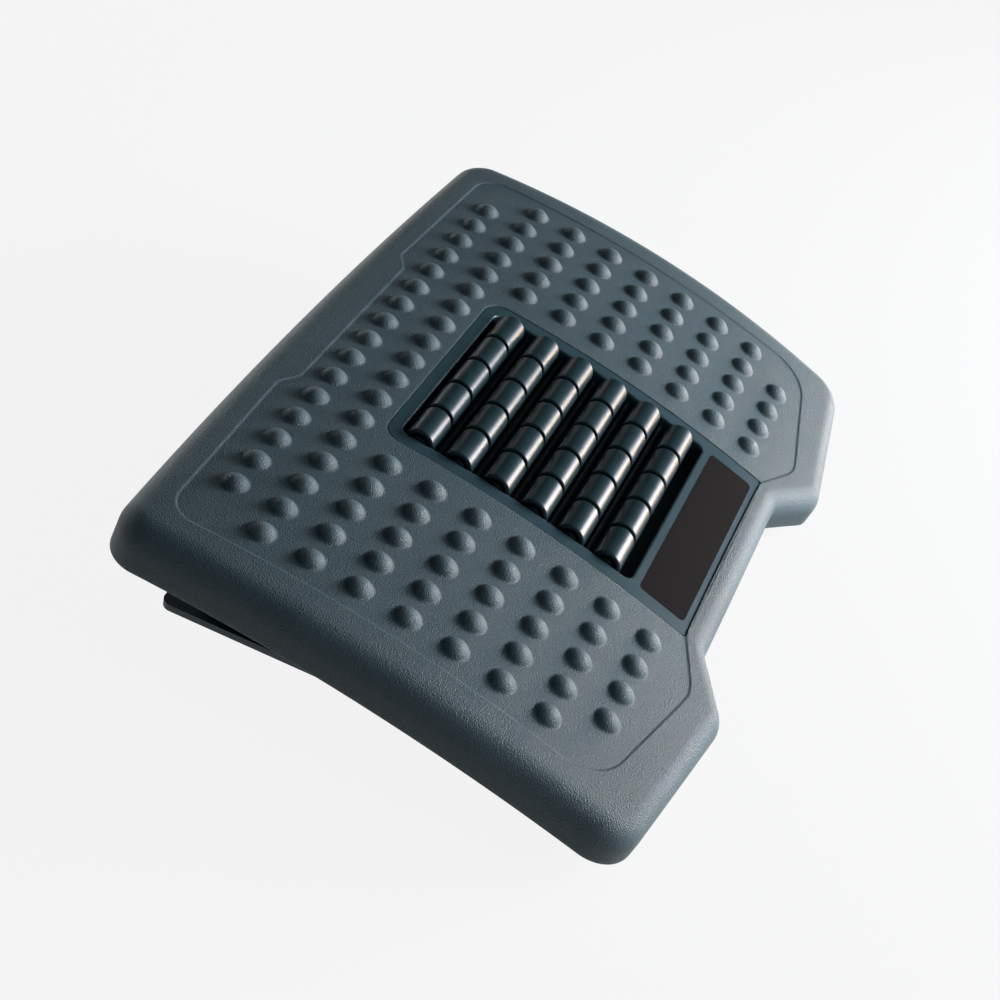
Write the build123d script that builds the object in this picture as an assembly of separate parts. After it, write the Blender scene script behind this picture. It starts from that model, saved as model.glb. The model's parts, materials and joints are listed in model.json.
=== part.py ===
from build123d import *
from math import asin, cos, degrees, radians, sin, sqrt
import os

# All sizes in millimetres and degrees. The platform is drawn in its own frame: origin on the crown of
# the foot surface, X across, Y towards the raised back edge, Z out of the surface.

# Platform outline, seen square to the foot surface
platform_width = 450.0
back_reach = 143.5
corner_radius = 26.0
front_corner_reach = 144.0
horn_tip_x = 108.0
horn_tip_radius = 16.0
horn_reach = 24.6
notch_half_width = 72.0
notch_lip = 16.9
notch_corner_radius = 8.0

# Platform shell
crown_radius = 736.0
edge_radius = 13.5
skirt_depth = 25.0
skirt_rake = 0.024
shell_wall = 3.0
rib_depth = 13.0
rib_thickness = 2.0
rib_root = 0.8
rib_x = (90.0, 136.0, 182.0)
rib_y = (-58.0, 58.0)

# Sunk field that carries the massage domes
field_step = 0.6
field_margin_side = 24.5
field_margin_back = 18.0
field_back_fall = 4.0
field_margin_front = 28.0
field_middle_half_width = 66.5
field_jog_width = 11.5
field_jog_depth = 7.0
field_corner_radius = 16.0
field_bend_radius = 6.0

# Massage domes: a square lattice with the middle left free for the rollers
dome_radius = 7.84
dome_height = 4.4
dome_root = 0.5
dome_seam_turn = 45.0
dome_pitch_x = 21.75
dome_pitch_y = 26.3
dome_rows_behind = 4
dome_row_ends = (7.5, 8.5, 8.5, 8.5, 8.5, 8.5, 8.5, 8.5, 7.5)
dome_inner_column = 4.5
dome_full_rows = 2

# Roller cassette
roller_rows = 6
roller_columns = 5
roller_diameter = 17.0
roller_length = 24.6
roller_rim = 2.2
roller_web = 3.0
roller_edge_round = 1.0
roller_row_gap = 6.0
roller_end_gap = 2.6
roller_axis_depth = 4.35
roller_field_y = -9.5
hub_diameter = 8.0
hub_gap = 0.4
axle_diameter = 5.0
axle_running_gap = 0.1
axle_end_gap = 0.3
well_side_gap = 0.2
well_back_gap = 2.2
well_front_gap = 6.5
well_corner_radius = 5.0
well_rim_round = 1.2
frame_step = 0.9
frame_flange = 2.5
frame_wall = 3.5
frame_depth = 15.5
frame_seam = 0.4
frame_back_corner_radius = 11.0
frame_front_corner_radius = 2.0
ledge_side = 5.1
ledge_back = 3.7
ledge_thickness = 2.6
ledge_border = 3.0
hook_length = 12.0
hook_height = 2.4
hook_grip = 1.0
seat_gap = 0.1
slot_gap = 0.1

# Bare name plate on the front strip of the cassette
plate_half_width = 68.0
plate_depth = 28.8
plate_margin_back = 5.5
plate_margin_front = 4.4
plate_corner_radius = 3.0
plate_thickness = 0.6
plate_inset = 0.5
plate_gap = 0.15

# Pan that closes the cassette from below and keeps the axles in their slots
pan_floor = 2.5
pan_lip = 11.5
pan_rib_thickness = 2.0
pan_rib_depth = 7.5
pan_screw_x = (-48.0, 0.0, 48.0)
pan_tab_x = 40.0
pan_tab_width = 14.0
pan_tab_thickness = 2.5
pan_tab_wall = 2.6

# Screws, all of one size across
screw_diameter = 3.5
screw_head_diameter = 7.0
screw_head_height = 2.4
screw_drive_width = 0.9
screw_drive_length = 4.0
screw_drive_depth = 1.2
screw_gap = 0.05
screw_bite = 8.0
boss_diameter = 9.0

# Rocking hinge
rest_tilt = 12.19
rock_range = 17.0
pivot_drop = 34.0
floor_clearance = 4.6
bracket_x = 112.0
bracket_flange_width = 32.0
bracket_flange_depth = 56.0
bracket_flange = 4.0
bracket_seat_depth = 12.0
bracket_screw_inset = 5.5
lug_thickness = 9.0
lug_root_depth = 40.0
lug_radius = 11.0
bush_wall = 2.0
bush_gap = 0.05
bolt_diameter = 8.0
bolt_running_gap = 0.08
bolt_hole_gap = 0.1
bolt_head_across = 13.0
bolt_head_height = 5.3
bolt_end = 2.0
nut_height = 8.0
spring_diameter = 16.0
spring_thickness = 0.9
spring_cone = 0.5
washer_diameter = 18.0
washer_thickness = 1.5
washer_running_gap = 0.15

# Base
base_width = 343.0
base_depth = 242.0
base_back = 124.0
base_thickness = 4.0
base_corner_radius = 6.0
base_rib_height = 10.0
base_rib_thickness = 3.0
base_rim_inset = 16.0
ear_thickness = 6.0
ear_radius = 12.0
ear_foot = 46.0
cross_rib_y = 19.0

# Feet and stops
foot_diameter = 26.0
foot_seat = 1.5
foot_height = 2.5
foot_gap = 0.1
foot_inset = 24.0
stop_inset = 36.0
stop_post_radius = 7.0
stop_gap = 0.2
stop_rise_front = 18.0
stop_rise_rear = 25.0
bumper_radius = 8.0
bumper_height = 4.0
bumper_round = 1.0
bumper_stem_radius = 3.0
bumper_stem_length = 10.0
bumper_stem_gap = 0.1
bumper_post_wall = 6.0

# Places worked out from the sizes above
half_width = platform_width / 2
reach = 2 * back_reach
roller_radius = roller_diameter / 2
roller_pitch_x = roller_length + roller_end_gap
roller_pitch_y = roller_diameter + roller_row_gap
row_places = [roller_field_y + ((roller_rows - 1) / 2 - row) * roller_pitch_y for row in range(roller_rows)]
column_places = [(column - (roller_columns - 1) / 2) * roller_pitch_x for column in range(roller_columns)]
well_half_width = roller_columns * roller_pitch_x / 2 + well_side_gap
well_back = row_places[0] + roller_radius + well_back_gap
well_front = row_places[-1] - roller_radius - well_front_gap
frame_half_width = well_half_width + frame_wall
frame_back = well_back + frame_wall
frame_front = well_front - frame_wall
opening_half_width = frame_half_width + frame_seam
opening_back = frame_back + frame_seam
pan_front = frame_front - pan_lip
opening_front = pan_front - frame_seam
panel_half_width = opening_half_width + ledge_side
panel_back = opening_back + ledge_back
plate_back = well_front - plate_margin_back
plate_front = plate_back - plate_depth
panel_front = plate_front - plate_margin_front
pocket_depth = frame_step + frame_flange
ledge_depth = pocket_depth + ledge_thickness
pan_depth = frame_depth + pan_floor
pan_screw_y = pan_front + pan_lip / 2
notch_y = panel_front - notch_lip
horn_tip_y = notch_y - horn_reach
skirt_shift = -skirt_rake * crown_radius
lug_bore_radius = bolt_diameter / 2 + bolt_running_gap + bush_wall + bush_gap
ear_inner = lug_thickness / 2 + washer_running_gap + washer_thickness
ear_outer = ear_inner + ear_thickness
base_top = foot_height + base_thickness
stop_x = bracket_x
stop_y = base_depth / 2 - stop_inset


def crown_height(y, depth=0.0):
    radius = crown_radius - depth
    return sqrt(radius**2 - y**2) - crown_radius


def skirt_height(y):
    centre = -skirt_depth - sqrt(crown_radius**2 - skirt_shift**2)
    return centre + sqrt(crown_radius**2 - (y - skirt_shift) ** 2)


# The front horns hang lowest at rest, so they set how high the pivot stands.
horn_below_pivot = -(horn_tip_y * sin(radians(rest_tilt))
                     + (skirt_height(horn_tip_y) + pivot_drop) * cos(radians(rest_tilt)))
pivot_height = floor_clearance + horn_below_pivot


def rocked(tilt):
    return Pos(0, 0, pivot_height) * Rot(tilt, 0, 0) * Pos(0, 0, pivot_drop)


at_rest = rocked(rest_tilt)
at_far_stop = rocked(rest_tilt - rock_range)


def on_crown(y, depth=0.0):
    # A frame under the crown at the distance y along it, with Z square to the surface.
    turn = Rot(-degrees(y / crown_radius), 0, 0)
    return Pos(0, 0, -crown_radius) * turn * Pos(0, 0, crown_radius - depth)


def arc_below(depth):
    ends = crown_height(reach, depth)
    return [(-reach, ends), (0, -depth), (reach, ends)]


def side_prism(upper, lower):
    edges = [ThreePointArc(*upper), Line(upper[2], lower[2]), ThreePointArc(*lower), Line(lower[0], upper[0])]
    return extrude(Plane.YZ * make_face(edges), amount=platform_width, both=True)


def crown_band(top, bottom):
    return side_prism(arc_below(top), arc_below(bottom))


def upright(face):
    return extrude(face, amount=reach, both=True)


def rectangle(x0, x1, y0, y1):
    return Pos((x0 + x1) / 2, (y0 + y1) / 2) * Rectangle(x1 - x0, y1 - y0)


def rounded(face, corners):
    # Round chosen corners of a flat face. Each entry is (x, y, radius).
    for x, y, radius in corners:
        corner = face.vertices().sort_by_distance((x, y, 0))[0]
        face = fillet(corner, radius)
    return face


def mirrored(points):
    return [(-x, y) for x, y in reversed(points)]


def outline_face(inset=0.0):
    # The plan, or the plan of the hollow inside it: straight edges move in first, then the corners are rounded.
    front = [(half_width, -front_corner_reach), (horn_tip_x, horn_tip_y), (notch_half_width, notch_y)]
    back = [(-half_width, back_reach), (half_width, back_reach)]
    face = make_face(Polyline(*front, *mirrored(front), *back, close=True))
    if inset > 0:
        face = offset(face, -inset, kind=Kind.INTERSECTION)
    corners = []
    for side in (-1, 1):
        corners.append((side * half_width, -front_corner_reach, corner_radius - inset))
        corners.append((side * half_width, back_reach, corner_radius - inset))
        corners.append((side * horn_tip_x, horn_tip_y, horn_tip_radius - inset))
        corners.append((side * notch_half_width, notch_y, notch_corner_radius + inset))
    return rounded(face, corners)


def field_face():
    side_x = half_width - field_margin_side
    slope = (horn_tip_y + front_corner_reach) / (half_width - horn_tip_x)
    side_y = -front_corner_reach + slope * field_margin_side + field_margin_front
    tip_y = horn_tip_y + field_margin_front
    back_y = back_reach - field_margin_back
    corner_y = back_y - field_back_fall
    jog_x = field_middle_half_width + field_jog_width
    right = [
        (panel_half_width, panel_front),
        (horn_tip_x, tip_y),
        (side_x, side_y),
        (side_x, corner_y),
        (jog_x, back_y),
        (field_middle_half_width, back_y - field_jog_depth),
    ]
    path = right + mirrored(right)
    face = make_face(Polyline(*path, close=True))
    corners = []
    for side in (-1, 1):
        corners.append((side * side_x, side_y, field_corner_radius))
        corners.append((side * side_x, corner_y, field_corner_radius))
        corners.append((side * horn_tip_x, tip_y, field_bend_radius))
        corners.append((side * jog_x, back_y, field_bend_radius))
        corners.append((side * field_middle_half_width, back_y - field_jog_depth, field_bend_radius))
    return rounded(face, corners)


def panel_face(gap=0.0):
    half = panel_half_width - gap
    back = panel_back - gap
    front = panel_front + gap
    corners = []
    for side in (-1, 1):
        corners.append((side * half, back, frame_back_corner_radius))
        corners.append((side * half, front, frame_front_corner_radius))
    return rounded(rectangle(-half, half, front, back), corners)


def well_face():
    face = rectangle(-well_half_width, well_half_width, well_front, well_back)
    return fillet(face.vertices(), well_corner_radius)


def plate_face(gap=0.0):
    face = rectangle(-plate_half_width - gap, plate_half_width + gap, plate_front - gap, plate_back + gap)
    return fillet(face.vertices(), plate_corner_radius)


def crowned_body(face, depth, low_edge, round_radius):
    # The plan, limited above by the crown and below by the skirt line, with its top edge rounded.
    body = upright(face) & side_prism(arc_below(depth), low_edge)
    top = body.faces().sort_by(Axis.Z)[-1]
    return fillet(top.edges(), round_radius)


def dome_rows():
    # From the back: the distance of each row along the crown, and the places of its domes across.
    rows = []
    for index, end in enumerate(dome_row_ends):
        columns = [step - end for step in range(int(2 * end) + 1)]
        if index >= dome_full_rows:
            columns = [column for column in columns if abs(column) >= dome_inner_column]
        rows.append(((dome_rows_behind - index) * dome_pitch_y, [column * dome_pitch_x for column in columns]))
    return rows


def dome():
    centre = dome_height - dome_radius
    root_angle = degrees(asin((-centre - dome_root) / dome_radius))
    # The seam of the sphere is turned off the lattice lines, so that it crosses no other edge.
    return Pos(0, 0, centre) * Rot(0, 0, dome_seam_turn) * Sphere(dome_radius, root_angle, 90, align=Align.NONE)


def screw(length):
    # Head below the origin plane, shank pointing up.
    head = Pos(0, 0, -screw_head_height / 2) * Cylinder(screw_head_diameter / 2, screw_head_height)
    shank = Pos(0, 0, length / 2) * Cylinder(screw_diameter / 2, length)
    slot = Box(screw_drive_length, screw_drive_width, 2 * screw_drive_depth)
    drive = Pos(0, 0, -screw_head_height) * (slot + Rot(0, 0, 90) * slot)
    return head + shank - drive


def pilot(depth):
    # A blind hole upwards from the origin plane, started a little below it.
    lead = screw_head_height
    return Pos(0, 0, (depth - lead) / 2) * Cylinder(screw_diameter / 2 + screw_gap, depth + lead)


def bracket_screw_places():
    x = bracket_flange_width / 2 - bracket_screw_inset
    y = bracket_flange_depth / 2 - bracket_screw_inset
    return [(i * x, j * y) for i in (-1, 1) for j in (-1, 1)]


def boss_places():
    return [(side * bracket_x + x, y) for side in (-1, 1) for x, y in bracket_screw_places()]


def stop_posts():
    # Posts under the foot surface: each meets its bumper squarely at its own end of the rocking range.
    trim = crown_band(shell_wall - rib_root, 2 * pivot_drop)
    posts = []
    for place, y, rise in ((at_rest, -stop_y, stop_rise_front), (at_far_stop, stop_y, stop_rise_rear)):
        foot = base_top + rise + bumper_height + stop_gap
        length = 2 * pivot_height
        for side in (-1, 1):
            post = Pos(side * stop_x, y, foot + length / 2) * Cylinder(stop_post_radius, length)
            posts.append((place.inverse() * post) & trim)
    return posts


def platform_shell():
    outline = outline_face()
    low = [(y, skirt_height(y)) for y in (-reach, 0, reach)]
    outer = crowned_body(outline, 0, low, edge_radius)
    cavity_low = [(y, z - pivot_drop) for y, z in low]
    cavity = crowned_body(outline_face(shell_wall), shell_wall, cavity_low, edge_radius - shell_wall)
    shell = outer - cavity
    root = shell_wall - rib_root
    above = -edge_radius
    border_half = panel_half_width + ledge_border
    border = rectangle(-border_half, border_half, panel_front - ledge_border, panel_back + ledge_border)
    shell += upright(border) & crown_band(root, ledge_depth)
    shell -= upright(field_face()) & crown_band(above, field_step)
    shell -= upright(panel_face()) & crown_band(above, pocket_depth)
    opening = rectangle(-opening_half_width, opening_half_width, opening_front, opening_back)
    shell -= upright(opening) & crown_band(above, reach / 2)
    shell = shell.fuse(*stop_posts())
    bosses = []
    for x, y in boss_places():
        column = Pos(x, y, -bracket_seat_depth / 2) * Cylinder(boss_diameter / 2, bracket_seat_depth)
        hole = Pos(x, y, -bracket_seat_depth) * pilot(screw_bite)
        bosses.append((column & crown_band(root, reach)) - hole)
    shell = shell.fuse(*bosses)
    flat = upright(offset(outline, -edge_radius - shell_wall))
    ribs = []
    for side in (-1, 1):
        for x in rib_x:
            ribs.append(Pos(side * x, 0) * Rectangle(rib_thickness, 2 * reach))
        for y in rib_y:
            middle = side * (panel_half_width + half_width) / 2
            ribs.append(Pos(middle, y) * Rectangle(half_width - panel_half_width, rib_thickness))
    shell = shell.fuse(*[upright(rib) & flat & crown_band(root, rib_depth) for rib in ribs])
    for y, columns in dome_rows():
        shell = shell.fuse(*[on_crown(y, field_step) * Pos(x, 0, 0) * dome() for x in columns])
    return shell


def axle_slots():
    # Slots in both side walls, open below, with a round seat for each axle.
    width = axle_diameter + 2 * slot_gap
    drop = frame_depth
    cut = Rot(0, 90, 0) * Cylinder(width / 2, platform_width) + Pos(0, 0, -drop / 2) * Box(platform_width, width, drop)
    return [on_crown(y, roller_axis_depth) * cut for y in row_places]


def tab_places():
    return [side * pan_tab_x for side in (-1, 1)]


def roller_frame():
    frame = upright(panel_face(frame_seam)) & crown_band(frame_step, pocket_depth)
    walls = rectangle(-frame_half_width, frame_half_width, frame_front, frame_back)
    frame += upright(walls) & crown_band(frame_step, frame_depth)
    frame -= upright(well_face())
    top = frame.faces().sort_by(Axis.Z)[-1]
    frame = fillet(top.inner_wires()[0].edges(), well_rim_round)
    for x in pan_screw_x:
        column = upright(Pos(x, pan_screw_y) * Circle(boss_diameter / 2))
        frame += column & crown_band(frame_step + frame_flange / 2, frame_depth)
    frame -= upright(plate_face(plate_gap)) & crown_band(0, frame_step + plate_inset)
    hook_wide = frame_seam + hook_grip
    for y in [(row_places[i] + row_places[i + 1]) / 2 for i in range(0, roller_rows - 1, 2)]:
        for side in (-1, 1):
            place = on_crown(y, ledge_depth + seat_gap + hook_height / 2)
            block = Box(hook_wide, hook_length, hook_height)
            edge = block.edges().filter_by(Axis.Y).sort_by(Axis.Z)[:2].sort_by(Axis.X)[-1]
            wedge = chamfer(edge, hook_height / 2, hook_grip)
            hook = Pos(frame_half_width + hook_wide / 2, 0, 0) * wedge
            frame += place * (hook if side > 0 else mirror(hook, Plane.YZ))
    for slot in axle_slots():
        frame -= slot & upright(rectangle(-frame_half_width, frame_half_width, well_front, well_back))
    for x in tab_places():
        room = Box(pan_tab_width + 2 * plate_gap, 3 * frame_wall, pan_tab_thickness + 2 * plate_gap)
        frame -= on_crown(frame_back, tab_depth()) * Pos(x, 0, 0) * room
    for x in pan_screw_x:
        frame -= on_crown(pan_screw_y, frame_depth) * Pos(x, 0, 0) * pilot(screw_bite)
    return frame


def tab_depth():
    return frame_depth - pan_tab_thickness


def roller_pan():
    outline = rectangle(-frame_half_width, frame_half_width, pan_front, frame_back)
    pan = upright(outline) & crown_band(frame_depth, pan_depth)
    for i in range(roller_rows - 1):
        y = (row_places[i] + row_places[i + 1]) / 2
        height = pan_depth - pan_rib_depth
        rib = Box(2 * (well_half_width - well_side_gap), pan_rib_thickness, height)
        pan += on_crown(y, pan_depth - pan_floor / 2 - height / 2) * rib
    finger_top = roller_axis_depth + axle_diameter / 2 + seat_gap
    finger_height = pan_depth - pan_floor / 2 - finger_top
    finger = Box(frame_wall - 2 * slot_gap, axle_diameter, finger_height)
    for y in row_places:
        for side in (-1, 1):
            place = on_crown(y, finger_top + finger_height / 2)
            pan += place * Pos(side * (well_half_width + frame_wall / 2), 0, 0) * finger
    for x in tab_places():
        stem_height = pan_depth - pan_floor / 2 - tab_depth() + pan_tab_thickness / 2
        stem = Pos(0, 0, (pan_tab_thickness - stem_height) / 2) * Box(pan_tab_width, pan_tab_wall, stem_height)
        tongue_length = frame_wall + pan_tab_wall
        tongue = Pos(0, tongue_length / 2, 0) * Box(pan_tab_width, tongue_length, pan_tab_thickness)
        place = on_crown(well_back - seat_gap - pan_tab_wall / 2, tab_depth())
        pan += place * Pos(x, 0, 0) * (stem + tongue)
    for x in pan_screw_x:
        hole = Cylinder(screw_diameter / 2 + screw_gap, 3 * pan_floor)
        pan -= on_crown(pan_screw_y, pan_depth) * Pos(x, 0, 0) * hole
    return pan


def pan_screws():
    one = screw(pan_floor + screw_bite - seat_gap)
    return [on_crown(pan_screw_y, pan_depth + seat_gap) * Pos(x, 0, 0) * one for x in pan_screw_x]


def name_plate():
    top = frame_step + plate_inset - plate_thickness
    return upright(plate_face()) & crown_band(top, frame_step + plate_inset)


def roller():
    half = roller_length / 2
    hub_half = (roller_pitch_x - hub_gap) / 2
    web_half = roller_web / 2
    rim = roller_radius - roller_rim
    hub = hub_diameter / 2
    bore = axle_diameter / 2 + axle_running_gap
    right = [(hub_half, bore), (hub_half, hub), (web_half, hub), (web_half, rim), (half, rim), (half, roller_radius)]
    path = right + mirrored(right)
    section = make_face(Polyline(*path, close=True))
    ends = [(side * half, roller_radius, roller_edge_round) for side in (-1, 1)]
    return revolve(rounded(section, ends), Axis.X)


def roller_axle():
    length = 2 * (frame_half_width - axle_end_gap)
    return Rot(0, 90, 0) * Cylinder(axle_diameter / 2, length)


def pivot_bracket(side):
    seat = -bracket_seat_depth
    plate = Pos(0, 0, seat - bracket_flange / 2) * Box(bracket_flange_width, bracket_flange_depth, bracket_flange)
    root_z = seat - bracket_flange / 2
    root = Line((-lug_root_depth / 2, root_z), (lug_root_depth / 2, root_z))
    eye = Pos(0, -pivot_drop) * Circle(lug_radius)
    lug = extrude(Plane.YZ * make_hull([root] + list(eye.edges())), amount=lug_thickness / 2, both=True)
    bracket = plate + lug
    bracket -= Pos(0, 0, -pivot_drop) * Rot(0, 90, 0) * Cylinder(lug_bore_radius, 2 * lug_thickness)
    for x, y in bracket_screw_places():
        hole = Cylinder(screw_diameter / 2 + screw_gap, 3 * bracket_flange)
        bracket -= Pos(x, y, seat) * hole
    return Pos(side * bracket_x, 0, 0) * bracket


def bracket_screws():
    one = screw(bracket_flange + screw_bite - seat_gap)
    seat = -bracket_seat_depth - bracket_flange
    return [Pos(x, y, seat) * one for x, y in boss_places()]


def pivot_bush(side):
    outer = Cylinder(lug_bore_radius - bush_gap, lug_thickness)
    bush = outer - Cylinder(bolt_diameter / 2 + bolt_running_gap, 2 * lug_thickness)
    return Pos(side * bracket_x, 0, -pivot_drop) * Rot(0, 90, 0) * bush


def at_pivot(side):
    # Hinge hardware is drawn along Z, with Z pointing out of the footrest's side.
    return Pos(side * bracket_x, 0, pivot_height) * Rot(0, side * 90, 0)


def hexagon(across, height):
    return extrude(RegularPolygon(across / 2, 6, major_radius=False), amount=height)


def nut_seat():
    return -ear_outer - spring_thickness - spring_cone


def pivot_bolt(side):
    head = Pos(0, 0, ear_outer) * hexagon(bolt_head_across, bolt_head_height)
    end = nut_seat() - nut_height - bolt_end
    length = ear_outer - end
    shank = Pos(0, 0, end + length / 2) * Cylinder(bolt_diameter / 2, length)
    return at_pivot(side) * (head + shank)


def lock_nut(side):
    nut = hexagon(bolt_head_across, nut_height) - Cylinder(bolt_diameter / 2 + bolt_hole_gap, 4 * nut_height)
    return at_pivot(side) * Pos(0, 0, nut_seat() - nut_height) * nut


def disc_spring(side):
    inner = bolt_diameter / 2 + bolt_hole_gap
    outer = spring_diameter / 2
    low = -ear_outer
    profile = [(outer, low), (outer, low - spring_thickness), (inner, low - spring_thickness - spring_cone)]
    profile.append((inner, low - spring_cone))
    ring = revolve(Plane.XZ * make_face(Polyline(*profile, close=True)), Axis.Z)
    return at_pivot(side) * ring


def friction_washer(side, face):
    ring = Cylinder(washer_diameter / 2, washer_thickness)
    ring -= Cylinder(bolt_diameter / 2 + bolt_hole_gap, 2 * washer_thickness)
    return at_pivot(side) * Pos(0, 0, face * (ear_inner - washer_thickness / 2)) * ring


def base_middle():
    return base_back - base_depth / 2


def foot_places():
    x = base_width / 2 - foot_inset
    y = base_depth / 2 - foot_inset
    return {
        "front_left": (-x, base_middle() - y),
        "front_right": (x, base_middle() - y),
        "rear_left": (-x, base_middle() + y),
        "rear_right": (x, base_middle() + y),
    }


def bumper_places():
    return [(y, rise, side * stop_x) for y, rise in ((-stop_y, stop_rise_front), (stop_y, stop_rise_rear))
            for side in (-1, 1)]


def standing_rib(x0, x1, y0, y1):
    return extrude(Pos(0, 0, base_top - base_thickness / 2) * rectangle(x0, x1, y0, y1),
                   amount=base_rib_height + base_thickness / 2)


def base_tray():
    plan = Pos(0, base_middle()) * RectangleRounded(base_width, base_depth, base_corner_radius)
    base = Pos(0, 0, foot_height) * extrude(plan, amount=base_thickness)
    half_rib = base_rib_thickness / 2
    for side in (-1, 1):
        for face in (-1, 1):
            x = side * bracket_x + face * (ear_inner + ear_thickness / 2)
            foot = Line((-ear_foot / 2, base_top - base_thickness / 2), (ear_foot / 2, base_top - base_thickness / 2))
            eye = Pos(0, pivot_height) * Circle(ear_radius)
            ear = make_hull([foot] + list(eye.edges()))
            base += Pos(x, 0, 0) * extrude(Plane.YZ * ear, amount=ear_thickness / 2, both=True)
            base += standing_rib(x - half_rib, x + half_rib, -stop_y, stop_y)
        hole = Rot(0, 90, 0) * Cylinder(bolt_diameter / 2 + bolt_hole_gap, 4 * ear_outer)
        base -= Pos(side * bracket_x, 0, pivot_height) * hole
    for y in (-cross_rib_y, cross_rib_y):
        base += standing_rib(-bracket_x, bracket_x, y - half_rib, y + half_rib)
    rim_x = base_width / 2 - base_rim_inset
    for side in (-1, 1):
        y = base_middle() + side * (base_depth / 2 - base_rim_inset)
        base += standing_rib(-rim_x, rim_x, y - half_rib, y + half_rib)
        x = side * rim_x
        front = base_middle() - base_depth / 2 + base_rim_inset
        back = base_back - base_rim_inset
        base += standing_rib(x - half_rib, x + half_rib, front - half_rib, back + half_rib)
    post_radius = bumper_stem_radius + bumper_post_wall
    for y, rise, x in bumper_places():
        height = rise + base_thickness / 2
        post = Pos(x, y, base_top + rise - height / 2) * Cylinder(post_radius, height)
        socket_depth = bumper_stem_length + seat_gap
        socket = Cylinder(bumper_stem_radius + bumper_stem_gap, socket_depth)
        base = base + post - Pos(x, y, base_top + rise - socket_depth / 2) * socket
    for x, y in foot_places().values():
        seat = Cylinder(foot_diameter / 2 + foot_gap, 2 * foot_seat)
        base -= Pos(x, y, foot_height) * seat
    return base


def bumpers(row):
    found = []
    for y, rise, x in bumper_places():
        if y * row > 0:
            head = Pos(0, 0, bumper_height / 2) * Cylinder(bumper_radius, bumper_height)
            head = fillet(head.edges().sort_by(Axis.Z)[-1], bumper_round)
            stem = Pos(0, 0, -bumper_stem_length / 2) * Cylinder(bumper_stem_radius, bumper_stem_length)
            found.append(Pos(x, y, base_top + rise) * (head + stem))
    return found


def rubber_foot(x, y):
    height = foot_height + foot_seat
    return Pos(x, y, height / 2) * Cylinder(foot_diameter / 2, height)


pieces = {}


def keep(name, *solids):
    pieces[name] = solids[0] if len(solids) == 1 else Compound(list(solids))


sides = {"left": -1, "right": 1}

keep("platform_shell", at_rest * platform_shell())
keep("roller_frame", at_rest * roller_frame())
keep("roller_pan", at_rest * roller_pan())
keep("pan_screws", *[at_rest * one for one in pan_screws()])
keep("name_plate", at_rest * name_plate())
for row, row_y in enumerate(row_places, start=1):
    row_place = at_rest * on_crown(row_y, roller_axis_depth)
    keep("roller_axle_%d" % row, row_place * roller_axle())
    for column, column_x in enumerate(column_places, start=1):
        keep("roller_%d_%d" % (row, column), row_place * Pos(column_x, 0, 0) * roller())
keep("bracket_screws", *[at_rest * one for one in bracket_screws()])
for name, side in sides.items():
    keep("pivot_bracket_" + name, at_rest * pivot_bracket(side))
    keep("pivot_bush_" + name, at_rest * pivot_bush(side))
    keep("pivot_bolt_" + name, pivot_bolt(side))
keep("lock_nuts", *[lock_nut(side) for side in sides.values()])
keep("disc_springs", *[disc_spring(side) for side in sides.values()])
keep("friction_washers", *[friction_washer(side, face) for side in sides.values() for face in (-1, 1)])
keep("base_tray", base_tray())
keep("front_stop_bumpers", *bumpers(-1))
keep("rear_stop_bumpers", *bumpers(1))
for name, (foot_x, foot_y) in foot_places().items():
    keep("rubber_foot_" + name, rubber_foot(foot_x, foot_y))

# The origin goes to the middle of the floor space that the footrest takes up.
box = Compound(list(pieces.values())).bounding_box()
centred = Pos(0, -box.center().Y, 0)
os.makedirs("parts", exist_ok=True)
for name, shape in pieces.items():
    export_step(centred * shape, os.path.join("parts", name + ".step"))
print("hinge at y", round(-box.center().Y, 3), "z", round(pivot_height, 3))
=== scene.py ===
import json
import math
import bpy
import numpy as np
from mathutils import Matrix, Vector

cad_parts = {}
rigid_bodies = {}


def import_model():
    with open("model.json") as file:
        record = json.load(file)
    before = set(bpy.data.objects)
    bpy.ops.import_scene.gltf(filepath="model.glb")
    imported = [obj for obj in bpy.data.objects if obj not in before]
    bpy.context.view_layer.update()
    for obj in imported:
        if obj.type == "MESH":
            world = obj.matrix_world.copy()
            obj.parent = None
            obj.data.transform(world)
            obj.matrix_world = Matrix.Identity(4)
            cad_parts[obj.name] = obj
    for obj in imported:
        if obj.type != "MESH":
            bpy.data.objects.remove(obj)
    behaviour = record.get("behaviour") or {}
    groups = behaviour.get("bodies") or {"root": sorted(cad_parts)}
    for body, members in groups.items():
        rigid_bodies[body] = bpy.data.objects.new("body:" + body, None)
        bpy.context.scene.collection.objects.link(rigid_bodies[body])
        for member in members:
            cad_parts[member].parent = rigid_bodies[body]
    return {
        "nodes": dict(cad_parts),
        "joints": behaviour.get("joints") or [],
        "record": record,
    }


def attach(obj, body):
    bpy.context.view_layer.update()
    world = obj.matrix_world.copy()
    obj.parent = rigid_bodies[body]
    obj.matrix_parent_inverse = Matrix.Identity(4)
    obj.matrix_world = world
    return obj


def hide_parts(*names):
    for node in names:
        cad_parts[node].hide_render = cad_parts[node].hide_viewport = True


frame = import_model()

for spare in [o for o in bpy.data.objects if o.name in ("Cube", "Light", "Camera")]:
    bpy.data.objects.remove(spare)
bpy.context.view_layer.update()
nodes = frame["nodes"]
print("frame loaded:", len(nodes), "nodes")

# where the platform stands: tilt in degrees, hinge drop below the crown and hinge place in mm
stand = {
    "tilt": 12.19,
    "hingeDrop": 34.0,
    "hinge": 1000 * np.array(frame["joints"][0]["pos_m"]),
    "crown": 736.0,  # radius of the foot surface, front to back
}


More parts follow.
